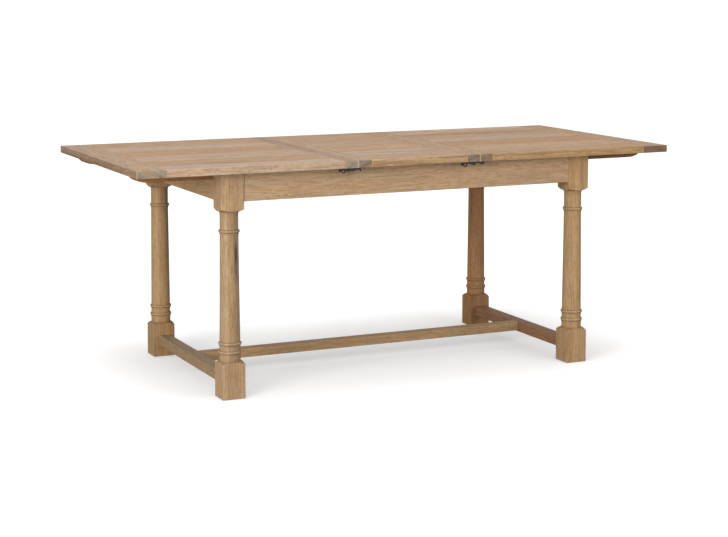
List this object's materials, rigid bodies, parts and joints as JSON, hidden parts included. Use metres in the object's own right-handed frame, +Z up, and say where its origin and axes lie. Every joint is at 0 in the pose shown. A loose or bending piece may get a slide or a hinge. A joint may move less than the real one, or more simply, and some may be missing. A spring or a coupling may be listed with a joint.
{
  "type": "extendable dining table",
  "caption": "Oak farmhouse dining table with turned legs and low stretchers; the top's halves slide apart on runners for a drop-in centre leaf.",
  "frame": {"origin": "on the floor, under the middle of the centre leaf", "axes": "+X along the table, -Y towards its front, +Z up"},
  "size_m": [1.95, 0.88, 0.76],
  "materials": {
    "top_oak": "limed and oiled, matt",
    "leg_oak": "oiled, matt",
    "frame_oak": "oiled, matt",
    "inner_hardwood": "bare, planed",
    "runner_hardwood": "stained and waxed",
    "zinc_steel": "zinc plated",
    "dark_steel": "black, satin",
    "glide_plastic": "matt"
  },
  "bodies": {
    "base": {"leg_front_left": "leg_oak", "leg_front_right": "leg_oak", "leg_back_left": "leg_oak", "leg_back_right": "leg_oak", "front_apron": "frame_oak", "back_apron": "frame_oak", "left_apron": "frame_oak", "right_apron": "frame_oak", "left_stretcher": "frame_oak", "right_stretcher": "frame_oak", "centre_stretcher": "frame_oak", "front_guide_rail": "inner_hardwood", "back_guide_rail": "inner_hardwood", "left_cross_rail": "inner_hardwood", "right_cross_rail": "inner_hardwood", "corner_block_front_left": "inner_hardwood", "corner_block_front_right": "inner_hardwood", "corner_block_back_left": "inner_hardwood", "corner_block_back_right": "inner_hardwood", "corner_bolts": "zinc_steel", "frame_screws": "zinc_steel", "foot_glides": "glide_plastic"},
    "left_top": {"left_outer_board": "top_oak", "left_joint_board": "top_oak", "left_plank_1": "top_oak", "left_plank_2": "top_oak", "left_plank_3": "top_oak", "left_plank_4": "top_oak", "left_plank_5": "top_oak", "left_plank_6": "top_oak", "left_front_runner": "runner_hardwood", "left_back_runner": "runner_hardwood", "left_top_screws": "zinc_steel", "left_pegs": "inner_hardwood", "left_catch_plate": "dark_steel"},
    "right_top": {"right_outer_board": "top_oak", "right_joint_board": "top_oak", "right_plank_1": "top_oak", "right_plank_2": "top_oak", "right_plank_3": "top_oak", "right_plank_4": "top_oak", "right_plank_5": "top_oak", "right_plank_6": "top_oak", "right_front_runner": "runner_hardwood", "right_back_runner": "runner_hardwood", "right_top_screws": "zinc_steel", "right_pegs": "inner_hardwood", "right_catch_plate": "dark_steel"},
    "centre_leaf": {"leaf_left_board": "top_oak", "leaf_right_board": "top_oak", "leaf_plank_1": "top_oak", "leaf_plank_2": "top_oak", "leaf_plank_3": "top_oak", "leaf_plank_4": "top_oak", "leaf_plank_5": "top_oak", "leaf_plank_6": "top_oak", "leaf_keepers": "dark_steel", "leaf_screws": "zinc_steel"},
    "left_catch_lever": {"left_catch_lever": "dark_steel"},
    "right_catch_lever": {"right_catch_lever": "dark_steel"}
  },
  "joints": [
    {"name": "left_top_slide", "type": "slide", "parent": "base", "child": "left_top", "axis": [-1, 0, 0], "range_m": [0, 0.04]},
    {"name": "right_top_slide", "type": "slide", "parent": "base", "child": "right_top", "axis": [1, 0, 0], "range_m": [0, 0.04]},
    {"name": "leaf_lift", "type": "slide", "parent": "base", "child": "centre_leaf", "axis": [0, 0, 1], "range_m": [0, 0.3]},
    {"name": "left_catch_turn", "type": "hinge", "parent": "left_top", "child": "left_catch_lever", "pos_m": [-0.2395, -0.425, 0.7331], "axis": [0, 0, 1], "range_deg": [0, 90]},
    {"name": "right_catch_turn", "type": "hinge", "parent": "right_top", "child": "right_catch_lever", "pos_m": [0.2395, -0.425, 0.7331], "axis": [0, 0, 1], "range_deg": [0, 90]}
  ]
}
